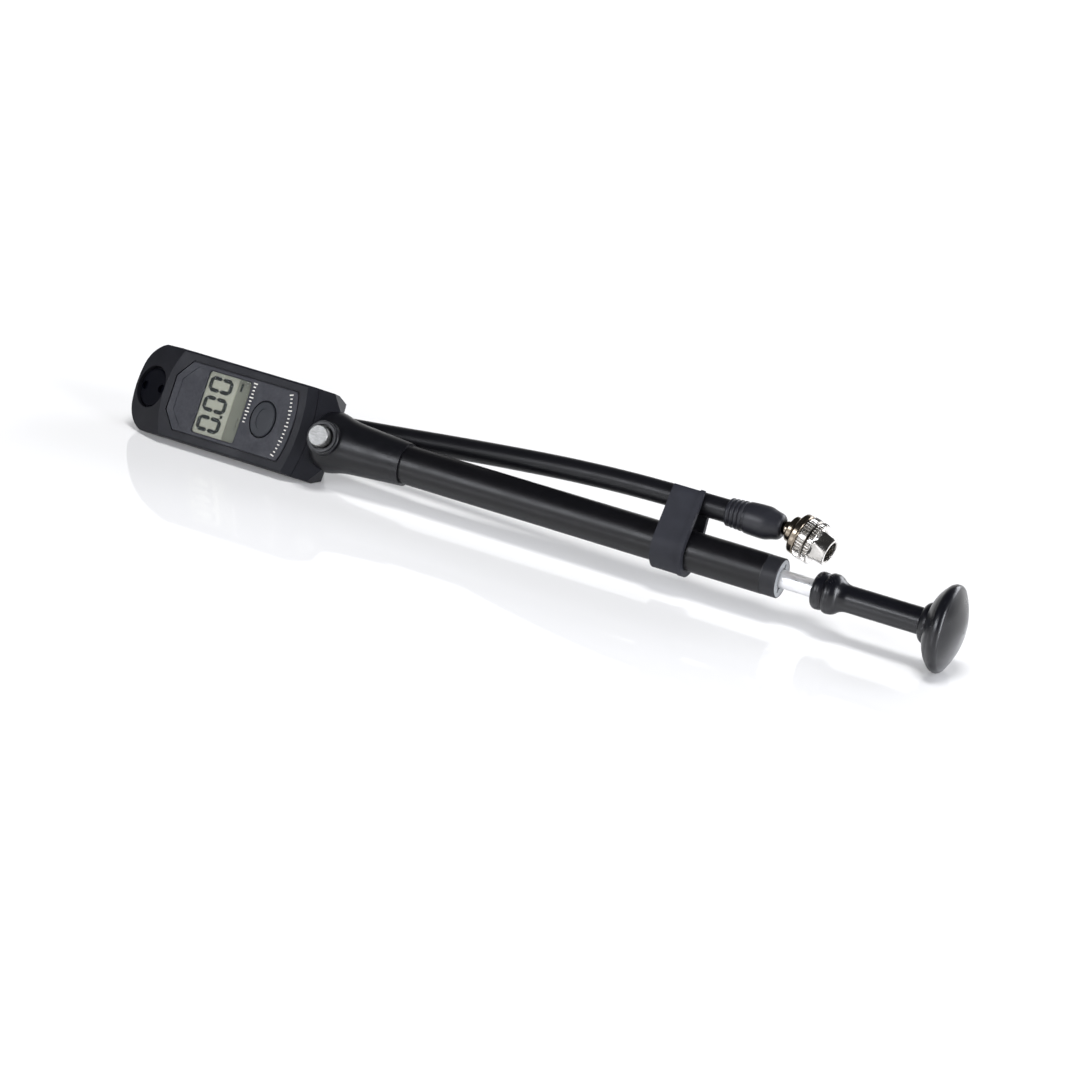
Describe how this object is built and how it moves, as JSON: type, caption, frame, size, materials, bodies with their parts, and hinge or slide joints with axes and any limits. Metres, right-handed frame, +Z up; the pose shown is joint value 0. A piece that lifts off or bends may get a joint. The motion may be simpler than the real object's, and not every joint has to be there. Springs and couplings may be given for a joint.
{
  "type": "shock suspension pump",
  "caption": "Slim high-pressure hand pump with a digital gauge head, a bleed button, a palm knob and a swivelling hose with a screw-on chuck.",
  "frame": {"origin": "on the surface the pump lies on, under the middle of its length and width, the free hose and chuck left out", "axes": "+X along the barrel from the gauge head towards the palm knob, +Y to the back of the lying pump, +Z up"},
  "size_m": [0.347, 0.041, 0.04],
  "materials": {
    "housing": "charcoal moulded plastic, fine matte grain",
    "screw_steel": "blackened steel",
    "face_plate": "charcoal plate, fine spark-eroded texture",
    "clear_window": "clear polycarbonate",
    "display": "grey-green liquid-crystal panel",
    "inner_rubber": "black nitrile rubber",
    "board": "green solder mask",
    "switch_plastic": "black switch",
    "button_rubber": "dark grey silicone rubber",
    "sensor_steel": "stainless can",
    "cell_steel": "nickel-plated steel",
    "contact_brass": "spring brass",
    "black_metal": "satin black anodised, fine grain",
    "plug_plastic": "black plastic, satin",
    "pipe_steel": "stainless tube",
    "brass_part": "turned brass",
    "spring_steel": "spring wire",
    "silver_button": "fine brushed aluminium",
    "barrel_black": "satin black anodised",
    "cap_black": "black plastic",
    "guide_grey": "grey machined plastic",
    "piston_plastic": "natural acetal",
    "polished_rod": "polished",
    "handle_black": "satin black plastic",
    "clip_rubber": "dark grey rubber",
    "hose_rubber": "matte black rubber",
    "boot_rubber": "moulded black rubber",
    "nickel": "warm nickel plating",
    "nickel_dark": "warm nickel plating"
  },
  "bodies": {
    "pump": {"back_housing": "housing", "gauge_cover": "housing", "housing_screws": "screw_steel", "face_plate": "face_plate", "display_window": "clear_window", "display_panel": "display", "display_connectors": "inner_rubber", "circuit_board": "board", "mode_switch": "switch_plastic", "pressure_sensor": "sensor_steel", "coin_cell": "cell_steel", "battery_contact": "contact_brass", "swivel_block": "black_metal", "end_plug": "plug_plastic", "air_pipe": "pipe_steel", "valve_body": "black_metal", "check_valve_seat": "brass_part", "check_ball": "inner_rubber", "check_spring": "spring_steel", "bleed_ring": "black_metal", "bleed_spring": "spring_steel", "bleed_seal": "inner_rubber", "barrel": "barrel_black", "end_cap": "cap_black", "rod_guide": "guide_grey", "rod_wiper": "inner_rubber", "banjo_bolt": "black_metal", "banjo_seals": "inner_rubber"},
    "battery_cover": {"battery_door": "housing", "door_seal": "inner_rubber"},
    "mode_key": {"mode_button": "button_rubber"},
    "bleed_key": {"bleed_button": "silver_button"},
    "piston_slide": {"piston": "piston_plastic", "piston_seal": "inner_rubber"},
    "handle": {"piston_rod": "polished_rod", "grip": "handle_black", "knob": "handle_black"},
    "clip": {"hose_clip": "clip_rubber"},
    "hose_swing": {"banjo_ring": "black_metal", "hose_ferrule": "black_metal", "hose": "hose_rubber", "hose_boot": "boot_rubber", "chuck_stem": "nickel_dark", "chuck_core": "nickel_dark", "chuck_seal": "inner_rubber"},
    "opener": {"chuck_wheel": "nickel", "chuck_back_disc": "nickel_dark"},
    "opener_pin": {"chuck_pin": "brass_part"},
    "coupling_nut": {"chuck_collar": "nickel"}
  },
  "joints": [
    {"name": "plunger_slide", "type": "slide", "parent": "pump", "child": "piston_slide", "axis": [1, 0, 0], "range_m": [-0.012, 0.138]},
    {"name": "handle_spin", "type": "hinge", "parent": "piston_slide", "child": "handle", "pos_m": [0.0105, -0.00387, 0.0162], "axis": [1, 0, 0], "continuous": true},
    {"name": "bleed_press", "type": "slide", "parent": "pump", "child": "bleed_key", "axis": [0, 0.9272, -0.3746], "range_m": [0, 0.0018], "stiffness_N_per_m": 900, "springref_m": -0.002, "deforming": ["bleed_spring"]},
    {"name": "mode_press", "type": "slide", "parent": "pump", "child": "mode_key", "axis": [0, 0.9272, -0.3746], "range_m": [0, 0.0006], "stiffness_N_per_m": 1200, "springref_m": -0.0006},
    {"name": "battery_door_turn", "type": "hinge", "parent": "pump", "child": "battery_cover", "pos_m": [-0.1295, 0.00726, 0.0117], "axis": [0, 0.9272, -0.3746], "range_deg": [0, 45]},
    {"name": "clip_slide", "type": "slide", "parent": "pump", "child": "clip", "axis": [1, 0, 0], "range_m": [-0.006, 0.005]},
    {"name": "hose_swivel", "type": "hinge", "parent": "pump", "child": "hose_swing", "pos_m": [-0.1615, 0.01245, 0.00961], "axis": [0, -0.9272, 0.3746], "range_deg": [0, 175]},
    {"name": "opener_turn", "type": "hinge", "parent": "hose_swing", "child": "opener", "pos_m": [0.1061, 0.00262, 0.03227], "axis": [0.9659, -0.097, -0.24], "range_deg": [0, 270]},
    {"name": "opener_pin_advance", "type": "slide", "parent": "hose_swing", "child": "opener_pin", "axis": [0.9659, -0.097, -0.24], "range_m": [0, 0.0012]},
    {"name": "coupling_nut_spin", "type": "hinge", "parent": "hose_swing", "child": "coupling_nut", "pos_m": [0.11383, 0.00185, 0.03035], "axis": [0.9659, -0.097, -0.24], "continuous": true}
  ],
  "couplings": [
    {"joint": "opener_pin_advance", "follows": "opener_turn", "m_per_rad": 0.00025465}
  ]
}
